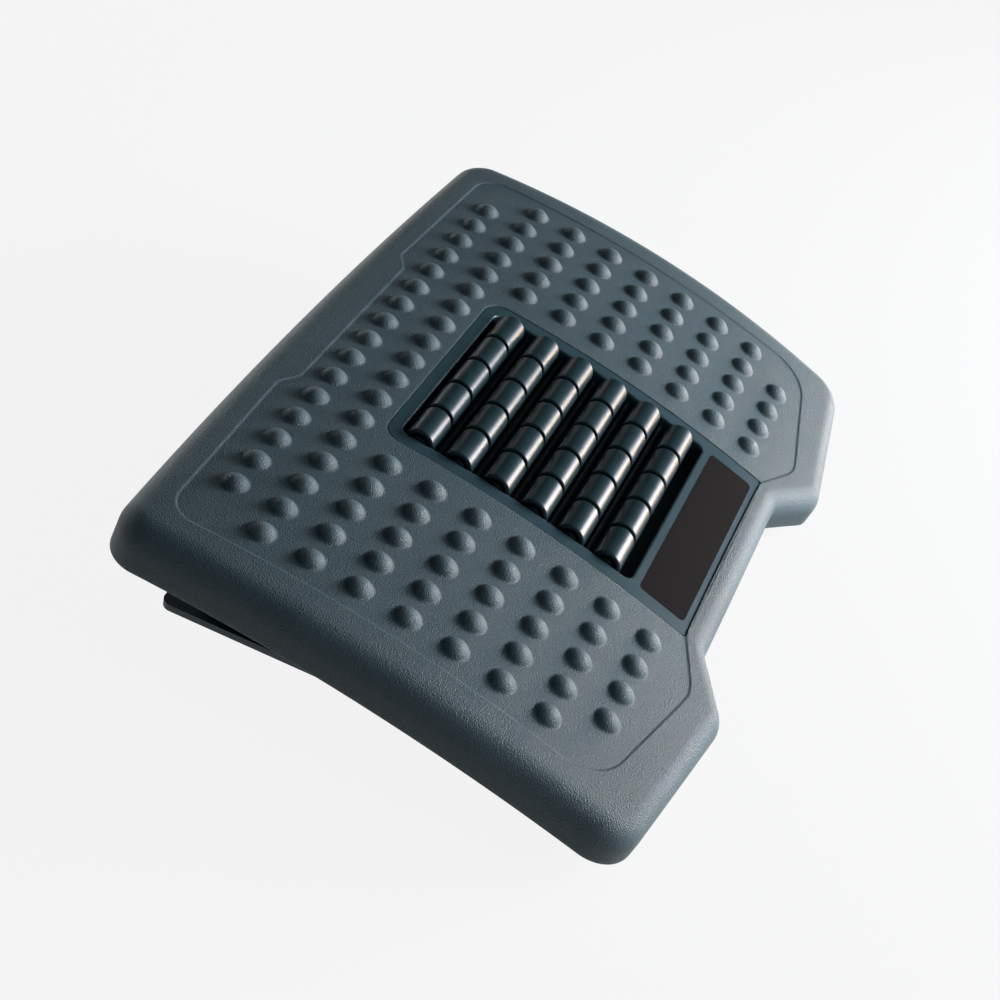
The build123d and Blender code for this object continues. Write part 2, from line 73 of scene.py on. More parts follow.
def placed(points):
    # drop to the hinge, turn by the tilt about X, lift to the hinge's height, mm to metres
    tilt = math.radians(stand["tilt"])
    x, y, z = points[..., 0], points[..., 1], points[..., 2] + stand["hingeDrop"]
    along = y * math.cos(tilt) - z * math.sin(tilt)
    up = y * math.sin(tilt) + z * math.cos(tilt)
    return (np.stack([x, along, up], -1) + stand["hinge"]) / 1000


def unplaced(points):
    # the way back from the frame to the platform's own axes
    tilt = math.radians(stand["tilt"])
    x, y, z = np.moveaxis(points * 1000 - stand["hinge"], -1, 0)
    along = y * math.cos(tilt) + z * math.sin(tilt)
    up = z * math.cos(tilt) - y * math.sin(tilt)
    return np.stack([x, along, up - stand["hingeDrop"]], -1)


def crownHeight(y, depth=0.0):
    # height of the circle of radius crown - depth, measured from the crown's top
    return np.sqrt((stand["crown"] - depth) ** 2 - y**2) - stand["crown"]


def roundedLoop(corners, arcStep, runStep):
    # straight runs between corners (x, y, radius); each corner is bridged by its arc
    spot = np.array([c[:2] for c in corners])
    radius = np.array([c[2] for c in corners])
    into = spot - np.roll(spot, 1, 0)
    into /= np.linalg.norm(into, axis=1)[:, None]
    away = np.roll(into, -1, 0)
    turn = np.arctan2(into[:, 0] * away[:, 1] - into[:, 1] * away[:, 0], (into * away).sum(1))
    cut = radius * np.tan(np.abs(turn) / 2)
    first = spot - into * cut[:, None]
    last = spot + away * cut[:, None]
    side = np.stack([-into[:, 1], into[:, 0]], -1) * np.sign(turn)[:, None]
    centre = first + side * radius[:, None]
    start = np.arctan2(first[:, 1] - centre[:, 1], first[:, 0] - centre[:, 0])
    runs = []
    for i in range(len(corners)):
        count = max(2, int(np.ceil(abs(turn[i]) * radius[i] / arcStep)) + 1)
        angle = start[i] + np.linspace(0, turn[i], count)
        runs.append(centre[i] + radius[i] * np.stack([np.cos(angle), np.sin(angle)], -1))
        goal = first[(i + 1) % len(corners)]
        count = max(2, int(np.ceil(np.linalg.norm(goal - last[i]) / runStep)) + 1)
        share = np.linspace(0, 1, count)[1:-1, None]
        runs.append(last[i] * (1 - share) + goal * share)
    return np.concatenate(runs)


def bothSides(corners):
    # right-hand corners from front to back, then their mirror images from back to front
    return corners + [(-x, y, r) for x, y, r in reversed(corners)]


def reachAt(loop, centre, angle):
    # distance from the centre to the loop along each angle, by interpolation around the loop
    ray = loop - centre
    turn = np.arctan2(ray[:, 1], ray[:, 0])
    order = np.argsort(turn)
    return np.interp(angle, turn[order], np.hypot(ray[:, 0], ray[:, 1])[order], period=2 * np.pi)


def distanceTo(loop, points):
    # least distance from each point to the segments of a closed loop
    a = loop
    ab = np.roll(loop, -1, 0) - a
    size = (ab**2).sum(1) + 1e-12
    out = np.empty(len(points))
    for low in range(0, len(points), 4000):
        ap = points[low:low + 4000, None] - a[None]
        share = np.clip((ap * ab).sum(-1) / size, 0, 1)
        out[low:low + 4000] = np.sqrt(((ap - share[..., None] * ab) ** 2).sum(-1).min(1))
    return out


def sheetFaces(rows, columns):
    # quads of a grid that closes on itself along its columns, facing out where rows run outwards
    i, j = np.meshgrid(np.arange(rows - 1), np.arange(columns), indexing="ij")
    k = (j + 1) % columns
    here, beyond = i * columns, (i + 1) * columns
    return np.stack([here + j, beyond + j, beyond + k, here + k], -1).reshape(-1, 4)


def meshFrom(name, points, faces):
    # one mesh of points in metres, with the faces of several tables of three or four corners
    mesh = bpy.data.meshes.new(name)
    mesh.from_pydata(points.tolist(), [], [f for part in faces for f in part.tolist()])
    mesh.validate()
    return mesh


# moulded platform: plan in mm, as seen square to the foot surface
platform = {
    "halfWidth": 225.0,
    "back": 143.5,
    "frontCorner": -144.7,
    "cornerRadius": (20.0, 23.0),  # back, front
    "hornTip": (108.0, -160.3, 20.5),
    "notch": (73.0, -136.3, 8.0),
    "bow": (3.2, 4.1, 5.8, 2.0),  # sides drawn in at the back and front corners, back edge, front edges
    "bowReach": 144.0,  # from the middle to where the bow along the depth is full
    "cadCorners": [(72.0, -137.6, 8.0), (108.0, -162.2, 16.0),
                   (225.0, -144.0, 26.0), (225.0, 143.5, 26.0)],
    "cadSteps": (3.0, 500.0),  # along arcs and straight runs of the CAD plan
    "cadDepth": 0.15,  # CAD faces deeper than the wall by this much are kept
    "edgeRadius": 13.5,
    "wall": 3.0,
    "rimRound": 0.9,
    "skirtDepth": 24.3,
    "skirtShift": -10.7,
    "step": 0.6,  # the foot field is sunk by this much
    "stepBlur": 0.9,
    "stepSlant": 3.0,  # most that the step's rows spread where rays cross it at a slant
    "stepGap": (6.0, 3.0),  # least way from the step to the panel and to the rolled edge
    "stepZone": 2.0,
    "stepRows": (-1.4, -1.0, -0.75, -0.5, -0.25, 0, 0.25, 0.5, 0.75, 1.0, 1.4),
    "fieldCorners": [(68.0, -116.75, 0.0), (108.0, -136.2, 24.0), (200.5, -115.1, 28.0),
                     (200.5, 121.5, 16.0), (78.0, 125.5, 6.0), (66.5, 118.5, 6.0)],
    "panel": (77.2, -120.7, 66.3, 2.0, 11.0),  # half width, front, back, front and back corner radii
    "panelEdge": ((0.0, 0.5), (0.08, 0.25), (0.2, 0.1), (0.5, 0.02), (1.0, 0.0)),  # way out, drop
    "pocket": 3.4,
    "ledgeBorder": 3.0,
    "ledgeRound": 0.5,
    "middle": (0.0, -27.0),
    "tessellation": (0.9, 2.2),  # along arcs and straight runs of the outline
    "fineSteps": (0.5, 1.0),  # the same for the field and the panel
    "fieldRows": 12,
    "borderRows": (0, 0.25, 0.5, 0.75),
    "edgeRows": 13,
    "skirtRows": (0.3, 0.65, 1.0),
    "rimAngles": (0.4, 0.8, 1.2, math.pi / 2),
    "wallRows": (1.0, 0.6, 0.25),
    "innerRows": 7,
    "underRows": 9,
    # share of the wear and painted highlight on the skirt's rim
    "rimWearAndHighlight": 0.4,
    "sharp": 38.0,  # degrees between faces that make a hard edge
}

# half-round massage domes, mm
domes = {
    "pitch": (21.75, 26.3),
    "ends": (7.5, 8.5, 8.5, 8.5, 8.5, 8.5, 8.5, 8.5, 7.5),
    "rowsBehind": 4,
    "fullRows": 2,
    "inner": 4.5,
    "radius": 7.84,
    "height": 4.4,
    "flare": 2.0,
    "rings": (7, 4),
    "sides": 28,
    "tuck": (0.5, 0.04),  # the rim runs on by the first and dips below the field by the second
}


def bowed(loop):
    # straight plan drawn in towards its corners: each edge falls with the square of the way along it
    side, frontSide, backEdge, frontEdge = platform["bow"]
    x, y = loop[:, 0] / platform["halfWidth"], loop[:, 1] / platform["bowReach"]
    inward = np.where(y > 0, side, frontSide) * y**2 * x
    pull = np.where(y > 0, backEdge, frontEdge) * x**2 * y
    return loop - np.stack([inward, pull], -1)


def domePlaces():
    # lattice places: rows from the back, the middle left free beside the rollers
    found = []
    for row, end in enumerate(domes["ends"]):
        columns = np.arange(int(2 * end) + 1) - end
        if row >= domes["fullRows"]:
            columns = columns[np.abs(columns) >= domes["inner"]]
        along = (domes["rowsBehind"] - row) * domes["pitch"][1]
        found.append(np.stack([columns * domes["pitch"][0], np.full(len(columns), along)], -1))
    return np.concatenate(found)


def domeMesh():
    # ball cap of the given height, met by a hollow flare that is tangent to the field
    ball, flare = domes["radius"], domes["flare"]
    sunk = domes["height"] - ball
    rim = math.sqrt((ball + flare) ** 2 - (flare - sunk) ** 2)
    touch = math.atan2(rim, flare - sunk)
    cap = np.linspace(0, touch, domes["rings"][0] + 1)[1:]
    sweep = np.linspace(touch, 0, domes["rings"][1] + 1)[1:]
    runOn, dip = domes["tuck"]
    radius = np.concatenate([ball * np.sin(cap), rim - flare * np.sin(sweep), [rim + runOn]])
    height = np.concatenate([sunk + ball * np.cos(cap), flare - flare * np.cos(sweep), [-dip]])
    turn = np.arange(domes["sides"]) * 2 * np.pi / domes["sides"]
    across = (radius[:, None] * np.cos(turn)).ravel()
    along = (radius[:, None] * np.sin(turn)).ravel()
    out = np.repeat(height, domes["sides"])
    # the last point of each dome is its pole
    across, along, out = np.append(across, 0), np.append(along, 0), np.append(out, domes["height"])
    spots = domePlaces()
    angle = (spots[:, 1:] + along) / stand["crown"]
    reach = stand["crown"] - platform["step"] + out
    points = np.stack([spots[:, :1] + across, reach * np.sin(angle),
                       reach * np.cos(angle) - stand["crown"]], -1)
    each = len(across)
    ring = np.arange(domes["sides"])
    pole = np.stack([np.full(domes["sides"], each - 1), ring, (ring + 1) % domes["sides"]], -1)
    quads = sheetFaces(len(radius), domes["sides"])
    shift = np.arange(len(spots))[:, None, None] * each
    # wear and painted highlight, strongest at each dome's top
    wearAndHighlight = np.tile(np.clip(out / domes["height"], 0, 1), len(spots))
    return points.reshape(-1, 3), [(pole + shift).reshape(-1, 3), (quads + shift).reshape(-1, 4)], wearAndHighlight


def platformSkin():
    # rings of one grid: panel edge, sunk field, soft step, border, rolled edge, skirt and its rim
    p = platform
    corners = [p["notch"], p["hornTip"], (p["halfWidth"], p["frontCorner"], p["cornerRadius"][1]),
               (p["halfWidth"], p["back"], p["cornerRadius"][0])]
    outline = bowed(roundedLoop(bothSides(corners), *p["tessellation"]))
    field = roundedLoop(bothSides(p["fieldCorners"]), *p["fineSteps"])
    half, front, back, frontRound, backRound = p["panel"]
    panel = roundedLoop(bothSides([(half, front, frontRound), (half, back, backRound)]), *p["fineSteps"])
    along = np.roll(outline, -1, 0) - np.roll(outline, 1, 0)
    along /= np.linalg.norm(along, axis=1)[:, None]
    outward = np.stack([along[:, 1], -along[:, 0]], -1)
    roll = p["edgeRadius"]
    heart = outline - outward * roll
    heartHeight = crownHeight(heart[:, 1], roll)
    up = np.stack([0 * heartHeight, heart[:, 1], heartHeight + stand["crown"]], -1)
    up /= stand["crown"] - roll
    flat = np.concatenate([outward, np.zeros((len(outward), 1))], -1)
    core = np.concatenate([heart, heartHeight[:, None]], -1)
    bend = np.arccos((up * flat).sum(1))[:, None]
    edge = [core + roll * (np.sin((1 - t) * bend) * up + np.sin(t * bend) * flat) / np.sin(bend)
            for t in np.linspace(0, 1, p["edgeRows"])]
    # top: rays from the panel's middle out to where the rolled edge begins
    middle = np.array(p["middle"])
    ray = edge[0][:, :2] - middle
    angle = np.arctan2(ray[:, 1], ray[:, 0])
    far = np.hypot(ray[:, 0], ray[:, 1])
    near = reachAt(panel, middle, angle)
    stepAt = reachAt(field, middle, angle)
    slant = np.gradient(stepAt) / np.gradient(np.unwrap(angle))
    spread = np.clip(np.sqrt(1 + (slant / stepAt) ** 2), 1, p["stepSlant"])
    line = np.clip(stepAt, near + p["stepGap"][0], far - p["stepGap"][1])
    lipWay, lipDrop = np.array(p["panelEdge"]).T
    fieldFrom = near + lipWay[-1]
    stepIn, stepOut = line - p["stepZone"] * spread, line + p["stepZone"] * spread
    rows = [near + way for way in lipWay]
    rows += [fieldFrom + (stepIn - fieldFrom) * t for t in np.linspace(0, 1, p["fieldRows"])[1:]]
    rows += [line + spread * t for t in p["stepRows"]]
    rows += [stepOut + (far - stepOut) * t for t in p["borderRows"]]
    rows = np.array(rows)
    flatTop = middle + rows[..., None] * np.stack([np.cos(angle), np.sin(angle)], -1)
    away = distanceTo(field, flatTop.reshape(-1, 2)).reshape(rows.shape)
    inside = np.where(rows < stepAt, away, -away)
    share = np.clip(0.5 + inside / (2 * p["stepBlur"]), 0, 1)
    depth = p["step"] * share**2 * (3 - 2 * share)
    depth[:len(lipDrop)] += lipDrop[:, None]
    top = np.concatenate([flatTop, crownHeight(flatTop[..., 1], depth)[..., None]], -1)
    lip = top[:1].copy()
    lip[..., 2] = crownHeight(lip[..., 1], p["pocket"])
    # skirt down to its own lower line, with a rounded rim turned in to the wall's thickness
    centre = -p["skirtDepth"] - math.sqrt(stand["crown"] ** 2 - p["skirtShift"] ** 2)

    def skirtRow(inset, lift, share=1.0):
        # outline moved in by the inset, at a share of the way from the roll's centre to the lower line
        spot = outline - outward * inset
        low = centre + np.sqrt(stand["crown"] ** 2 - (spot[:, 1] - p["skirtShift"]) ** 2) + lift
        return np.concatenate([spot, (heartHeight * (1 - share) + low * share)[:, None]], -1)

    bead, wall = p["rimRound"], p["wall"]
    skirt = [skirtRow(0, bead, share) for share in p["skirtRows"]]
    skirt += [skirtRow(bead * (1 - math.cos(a)), bead * (1 - math.sin(a))) for a in p["rimAngles"]]
    skirt += [skirtRow(wall, 0, share) for share in p["wallRows"]]
    # inner side: the same roll with a smaller radius, then the underside in to the cassette's ledge
    inner = [core + (roll - wall) * (np.sin((1 - t) * bend) * up + np.sin(t * bend) * flat) / np.sin(bend)
             for t in np.linspace(1, 0, p["innerRows"])]
    ray = inner[-1][:, :2] - middle
    angle = np.arctan2(ray[:, 1], ray[:, 0])
    far = np.hypot(ray[:, 0], ray[:, 1])
    border, ledgeRound = p["ledgeBorder"], p["ledgeRound"]
    ledge = roundedLoop(bothSides([(half + border, front - border, ledgeRound),
                                   (half + border, back + border, ledgeRound)]), *p["fineSteps"])
    near = np.minimum(reachAt(ledge, middle, angle) - 1, far - 0.5)
    rows = np.array([far + (near - far) * t for t in np.linspace(0, 1, p["underRows"])[1:]])
    flatUnder = middle + rows[..., None] * np.stack([np.cos(angle), np.sin(angle)], -1)
    under = np.concatenate([flatUnder, crownHeight(flatUnder[..., 1], wall)[..., None]], -1)
    grid = np.concatenate([lip, top, np.array(edge), np.array(skirt), np.array(inner), under])
    # wear and painted highlight: most in the middle of the rolled edge, some on the skirt's rim
    wearAndHighlight = np.zeros(grid.shape[:2])
    low = len(lip) + len(top)
    high = low + len(edge)
    rim = high + len(p["skirtRows"]) - 1
    wearAndHighlight[low:high] = np.sin(np.linspace(0, np.pi, len(edge)))[:, None]
    wearAndHighlight[rim:rim + len(p["rimAngles"]) + 1] = p["rimWearAndHighlight"]
    return grid.reshape(-1, 3), [sheetFaces(*grid.shape[:2])], wearAndHighlight.ravel()


def hiddenDetails(node):
    # ribs, bosses, stop posts and the ledge: the CAD faces that lie deeper than the moulding's wall
    mesh = nodes[node].data
    points = np.empty(len(mesh.vertices) * 3, np.float32)
    mesh.vertices.foreach_get("co", points)
    corners = np.empty(len(mesh.loops), np.int32)
    mesh.loops.foreach_get("vertex_index", corners)
    points = np.round(points.reshape(-1, 3).astype(float), 7)
    points, same = np.unique(points, axis=0, return_inverse=True)
    faces = same.ravel()[corners].reshape(-1, 3)
    spot = unplaced(points[faces].mean(1))
    plan = roundedLoop(bothSides(platform["cadCorners"]), *platform["cadSteps"])
    side = distanceTo(plan, spot[:, :2])
    below = stand["crown"] - np.hypot(spot[:, 1], spot[:, 2] + stand["crown"])
    roll = platform["edgeRadius"]
    rounded = roll - np.hypot(roll - side, roll - below)
    depth = np.where((side < roll) & (below < roll), rounded, np.minimum(side, below))
    faces = faces[depth > platform["wall"] + platform["cadDepth"]]
    used, faces = np.unique(faces, return_inverse=True)
    return points[used], faces.reshape(-1, 3)


def buildPlatform():
    # skin, domes and hidden details joined in one mesh, with the wear and painted highlight of each point as an
    # attribute
    skinPoints, skinFaces, skinWearAndHighlight = platformSkin()
    domePoints, domeFaces, domeWearAndHighlight = domeMesh()
    innerPoints, innerFaces = hiddenDetails("platform_shell")
    points = np.concatenate([placed(skinPoints), placed(domePoints), innerPoints])
    faces = skinFaces + [part + len(skinPoints) for part in domeFaces]
    faces.append(innerFaces + len(skinPoints) + len(domePoints))
    mesh = meshFrom("platformMoulding", points, faces)
    wearAndHighlight = mesh.attributes.new("wearAndHighlight", "FLOAT", "POINT")
    wearAndHighlight.data.foreach_set("value", np.concatenate([skinWearAndHighlight, domeWearAndHighlight, np.zeros(len(innerPoints))]))
    mesh.polygons.foreach_set("use_smooth", np.ones(len(mesh.polygons), bool))
    mesh.set_sharp_from_angle(angle=math.radians(platform["sharp"]))
    piece = bpy.data.objects.new("platformMoulding", mesh)
    bpy.context.scene.collection.objects.link(piece)
    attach(piece, "platform")
    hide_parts("platform_shell")
    mesh.calc_loop_triangles()
    print("platform moulding:", len(mesh.loop_triangles), "triangles")
    return piece


def hexColour(code):
    # sRGB hex to linear light
    raw = np.array([int(code[i:i + 2], 16) / 255 for i in (1, 3, 5)])
    linear = np.where(raw <= 0.04045, raw / 12.92, ((raw + 0.055) / 1.055) ** 2.4)
    return (*linear.tolist(), 1.0)


def addNode(tree, kind, links=None, values=None, **settings):
    # node of the given kind: its settings, then socket values, then links into its sockets
    node = tree.nodes.new(kind)
    for key, value in settings.items():
        setattr(node, key, value)
    for key, value in (values or {}).items():
        node.inputs[key].default_value = value
    for key, source in (links or {}).items():
        tree.links.new(source, node.inputs[key])
    return node


def newMaterial(name):
    # empty material with one principled shader on its output
    material = bpy.data.materials.new(name)
    material.use_nodes = True
    tree = material.node_tree
    tree.nodes.clear()
    shader = addNode(tree, "ShaderNodeBsdfPrincipled")
    addNode(tree, "ShaderNodeOutputMaterial", {"Surface": shader.outputs["BSDF"]})
    return material, tree, shader


def perMetre(size):
    # pattern scale for a feature of the given size in mm, on Object coordinates in metres
    return 1000 / size


# moulded polypropylene: mould-eroded grain, satin, rubbed smoother on edges and dome tops, which also carry a
# paler painted highlight
polypropylene = {
    "dark": "#3d4b50",
    "pale": "#596a6f",
    # paler tone of rubbed spots, partly a painted highlight on the rolled edge and dome tops
    "rubbedHighlight": "#64747a",
    "grain": 0.75,  # mm
    "fleck": 0.8,  # share of the grain's size
    "speck": (0.36, 0.64),
    "cloud": 70.0,  # mm
    "rough": (0.50, 0.40),  # as moulded, rubbed
    "depth": 0.0003,
    "relief": 0.85,
    "shine": 0.26,  # the grain shades itself
}


def polypropyleneMaterial(name, look):
    # cells plus flecks give the bump, clouds times flecks the tone, the wear mask the paler rubbed tone with
    # its painted highlight, and the gloss
    material, tree, shader = newMaterial(name)
    where = addNode(tree, "ShaderNodeTexCoord").outputs["Object"]
    cell = addNode(tree, "ShaderNodeTexVoronoi", {"Vector": where}, {"Scale": perMetre(look["grain"])})
    fleck = addNode(tree, "ShaderNodeTexNoise", {"Vector": where},
                    {"Scale": perMetre(look["grain"] * look["fleck"]), "Detail": 3.0, "Roughness": 0.6})
    cloud = addNode(tree, "ShaderNodeTexNoise", {"Vector": where},
                    {"Scale": perMetre(look["cloud"]), "Detail": 4.0})
    height = addNode(tree, "ShaderNodeMath", {0: cell.outputs["Distance"], 1: fleck.outputs["Fac"]},
                     operation="ADD")
    speck = addNode(tree, "ShaderNodeMapRange", {"Value": fleck.outputs["Fac"]},
                    {"From Min": look["speck"][0], "From Max": look["speck"][1]})
    tint = addNode(tree, "ShaderNodeMath", {0: cloud.outputs["Fac"], 1: speck.outputs["Result"]},
                   operation="MULTIPLY")
    mixed = addNode(tree, "ShaderNodeMix", {"Factor": tint.outputs[0]}, data_type="RGBA")
    mixed.inputs["A"].default_value = hexColour(look["dark"])
    mixed.inputs["B"].default_value = hexColour(look["pale"])
    # the wear mask mixes in the paler tone: partly rubbed plastic, partly a painted highlight
    wearAndHighlight = addNode(tree, "ShaderNodeAttribute", attribute_name="wearAndHighlight")
    patchyWearAndHighlight = addNode(tree, "ShaderNodeMath", {0: wearAndHighlight.outputs["Fac"], 1: cloud.outputs["Fac"]},
                     operation="MULTIPLY")
    rubbedHighlight = addNode(tree, "ShaderNodeMix", {"Factor": patchyWearAndHighlight.outputs[0], "A": mixed.outputs["Result"]},
                     data_type="RGBA")
    rubbedHighlight.inputs["B"].default_value = hexColour(look["rubbedHighlight"])
    smooth = addNode(tree, "ShaderNodeMapRange", {"Value": wearAndHighlight.outputs["Fac"]},
                     {"To Min": look["rough"][0], "To Max": look["rough"][1]})
    bump = addNode(tree, "ShaderNodeBump", {"Height": height.outputs[0]},
                   {"Strength": look["relief"], "Distance": look["depth"]})
    tree.links.new(rubbedHighlight.outputs["Result"], shader.inputs["Base Color"])
    tree.links.new(smooth.outputs["Result"], shader.inputs["Roughness"])
    tree.links.new(bump.outputs["Normal"], shader.inputs["Normal"])
    shader.inputs["IOR"].default_value = 1.49
    shader.inputs["Specular IOR Level"].default_value = look["shine"]
    return material


# smooth moulded ABS: satin, a little bluer than the grained platform, faint flow clouds
satinAbs = {"dark": "#2a3d43", "pale": "#33474e", "cloud": 45.0, "pits": 1.2, "rough": 0.31}
# dark moulded ABS of the base
darkAbs = {"dark": "#283c42", "pale": "#30464d", "cloud": 40.0, "pits": 1.5, "rough": 0.55}
# black glass-filled nylon of the brackets and the pan under the rollers: dry, a little streaky; on the pan it
# is partly a painted shade for the gaps between rollers
blackNylon = {"dark": "#0d1517", "pale": "#141e21", "cloud": 18.0, "pits": 1.0, "rough": 0.6}
# flat printed polyester film of the bare plate
blackFilm = {"dark": "#110e0f", "pale": "#171415", "cloud": 25.0, "pits": 0.8, "rough": 0.8, "shine": 0.06}
# vulcanised rubber of feet and bumpers: dull, bloomed
feetRubber = {"dark": "#101112", "pale": "#202122", "cloud": 12.0, "pits": 0.9, "rough": 0.8}
# natural nylon bush and red vulcanised fibre washer
naturalNylon = {"dark": "#cfc9b6", "pale": "#ddd8c8", "cloud": 9.0, "pits": 0.7, "rough": 0.45}
redFibre = {"dark": "#5a2c20", "pale": "#7a4030", "cloud": 4.0, "pits": 0.5, "rough": 0.7}


def mouldedMaterial(name, look, depth=0.00003):
    # two close tones clouded together, with fine pits in the bump
    material, tree, shader = newMaterial(name)
    where = addNode(tree, "ShaderNodeTexCoord").outputs["Object"]
    cloud = addNode(tree, "ShaderNodeTexNoise", {"Vector": where},
                    {"Scale": perMetre(look["cloud"]), "Detail": 5.0, "Roughness": 0.55})
    pits = addNode(tree, "ShaderNodeTexNoise", {"Vector": where},
                   {"Scale": perMetre(look["pits"]), "Detail": 2.0})
    mixed = addNode(tree, "ShaderNodeMix", {"Factor": cloud.outputs["Fac"]}, data_type="RGBA")
    mixed.inputs["A"].default_value = hexColour(look["dark"])
    mixed.inputs["B"].default_value = hexColour(look["pale"])
    gloss = addNode(tree, "ShaderNodeMapRange", {"Value": cloud.outputs["Fac"]},
                    {"To Min": look["rough"] - 0.05, "To Max": look["rough"] + 0.05})
    bump = addNode(tree, "ShaderNodeBump", {"Height": pits.outputs["Fac"]},
                   {"Strength": 0.4, "Distance": depth})
    tree.links.new(mixed.outputs["Result"], shader.inputs["Base Color"])
    tree.links.new(gloss.outputs["Result"], shader.inputs["Roughness"])
    tree.links.new(bump.outputs["Normal"], shader.inputs["Normal"])
    shader.inputs["IOR"].default_value = 1.5
    shader.inputs["Specular IOR Level"].default_value = look.get("shine", 0.5)
    return material


# polished dark ABS of the rollers: glossy skin with fine scratches around
rollerAbs = {"dark": "#16292d", "pale": "#1e3439", "scratch": (0.5, 12.0), "smear": 9.0, "rough": (0.27, 0.38)}


def rollerMaterial(name, look):
    # scratches run around the roller, so the noise is stretched in Y and Z and tight along X
    material, tree, shader = newMaterial(name)
    where = addNode(tree, "ShaderNodeTexCoord").outputs["Object"]
    turned = addNode(tree, "ShaderNodeMapping", {"Vector": where})
    width, length = (perMetre(size) for size in look["scratch"])
    turned.inputs["Scale"].default_value = (width, length, length)
    scratch = addNode(tree, "ShaderNodeTexNoise", {"Vector": turned.outputs["Vector"]},
                      {"Scale": 1.0, "Detail": 2.0})
    smear = addNode(tree, "ShaderNodeTexNoise", {"Vector": where},
                    {"Scale": perMetre(look["smear"]), "Detail": 3.0})
    both = addNode(tree, "ShaderNodeMath", {0: scratch.outputs["Fac"], 1: smear.outputs["Fac"]},
                   operation="MULTIPLY")
    mixed = addNode(tree, "ShaderNodeMix", {"Factor": smear.outputs["Fac"]}, data_type="RGBA")
    mixed.inputs["A"].default_value = hexColour(look["dark"])
    mixed.inputs["B"].default_value = hexColour(look["pale"])
    gloss = addNode(tree, "ShaderNodeMapRange", {"Value": both.outputs[0]},
                    {"From Min": 0.1, "From Max": 0.5, "To Min": look["rough"][0], "To Max": look["rough"][1]})
    bump = addNode(tree, "ShaderNodeBump", {"Height": scratch.outputs["Fac"]},
                   {"Strength": 0.15, "Distance": 0.00002})
    tree.links.new(mixed.outputs["Result"], shader.inputs["Base Color"])
    tree.links.new(gloss.outputs["Result"], shader.inputs["Roughness"])
    tree.links.new(bump.outputs["Normal"], shader.inputs["Normal"])
    shader.inputs["IOR"].default_value = 1.54
    return material


# zinc-plated and drawn steel: streaked, slightly dull
steelLooks = {
    "zinc": {"dark": "#8f9294", "pale": "#b9bcbe", "streak": (6.0, 0.4), "rough": (0.28, 0.45)},
    "drawn": {"dark": "#9a9c9d", "pale": "#c4c6c7", "streak": (6.0, 0.25), "rough": (0.2, 0.35)},
}


def steelMaterial(name, look):
    # streaks run along X, so the noise is long in X and tight in Y and Z
    material, tree, shader = newMaterial(name)
    where = addNode(tree, "ShaderNodeTexCoord").outputs["Object"]
    turned = addNode(tree, "ShaderNodeMapping", {"Vector": where})
    length, width = (perMetre(size) for size in look["streak"])
    turned.inputs["Scale"].default_value = (length, width, width)
    streak = addNode(tree, "ShaderNodeTexNoise", {"Vector": turned.outputs["Vector"]},
                     {"Scale": 1.0, "Detail": 3.0})
    mixed = addNode(tree, "ShaderNodeMix", {"Factor": streak.outputs["Fac"]}, data_type="RGBA")
    mixed.inputs["A"].default_value = hexColour(look["dark"])
    mixed.inputs["B"].default_value = hexColour(look["pale"])
    gloss = addNode(tree, "ShaderNodeMapRange", {"Value": streak.outputs["Fac"]},
                    {"To Min": look["rough"][0], "To Max": look["rough"][1]})
    tree.links.new(mixed.outputs["Result"], shader.inputs["Base Color"])
    tree.links.new(gloss.outputs["Result"], shader.inputs["Roughness"])
    shader.inputs["Metallic"].default_value = 1.0
    return material


moulding = buildPlatform()
finishes = {
    "platform_plastic": polypropyleneMaterial("polypropyleneMoulded", polypropylene),
    "bezel_plastic": mouldedMaterial("absSatinMoulded", satinAbs),
    "plate_film": mouldedMaterial("polyesterFilmBlack", blackFilm, 0.00001),
    "roller_plastic": rollerMaterial("absPolishedBlack", rollerAbs),
    "axle_steel": steelMaterial("steelDrawn", steelLooks["drawn"]),
    "bracket_nylon": mouldedMaterial("nylonGlassFilled", blackNylon),
    "bush_nylon": mouldedMaterial("nylonNatural", naturalNylon),
    "hinge_steel": steelMaterial("steelZincPlated", steelLooks["zinc"]),
    "screw_steel": steelMaterial("steelZincPlatedScrew", steelLooks["zinc"]),
    "washer_fibre": mouldedMaterial("fibreVulcanisedRed", redFibre, 0.00005),
    "base_plastic": mouldedMaterial("absDarkMoulded", darkAbs, 0.00006),
    "rubber": mouldedMaterial("rubberVulcanised", feetRubber, 0.00006),
}
for entry in frame["record"]["subparts"]:
    nodes[entry["node"]].data.materials.clear()
    nodes[entry["node"]].data.materials.append(finishes[entry["material_slot"]])
# the pan takes the black nylon in place of the finish given in model.json, so its colour partly paints the
# shade in the gaps between rollers
nodes["roller_pan"].data.materials.clear()
nodes["roller_pan"].data.materials.append(finishes["bracket_nylon"])
moulding.data.materials.clear()
moulding.data.materials.append(finishes["platform_plastic"])
print("materials:", len(finishes))


def seenDirectly(tree):
    # 1 for rays from the camera, off a glossy piece or through a clear one, 0 for other light
    path = addNode(tree, "ShaderNodeLightPath")
    seen = addNode(tree, "ShaderNodeMath", {0: path.outputs["Is Camera Ray"], 1: path.outputs["Is Glossy Ray"]},
                   operation="MAXIMUM")
    seen = addNode(tree, "ShaderNodeMath", {0: seen.outputs[0], 1: path.outputs["Is Transmission Ray"]},
                   operation="MAXIMUM")
    return seen.outputs[0]


# matt painted floor: takes a faint shadow, shown pale to the camera
floorLook = {"colour": "#a3a7a9", "seen": "#ffffff", "size": 24.0, "below": 0.0002, "shadow": 0.12}


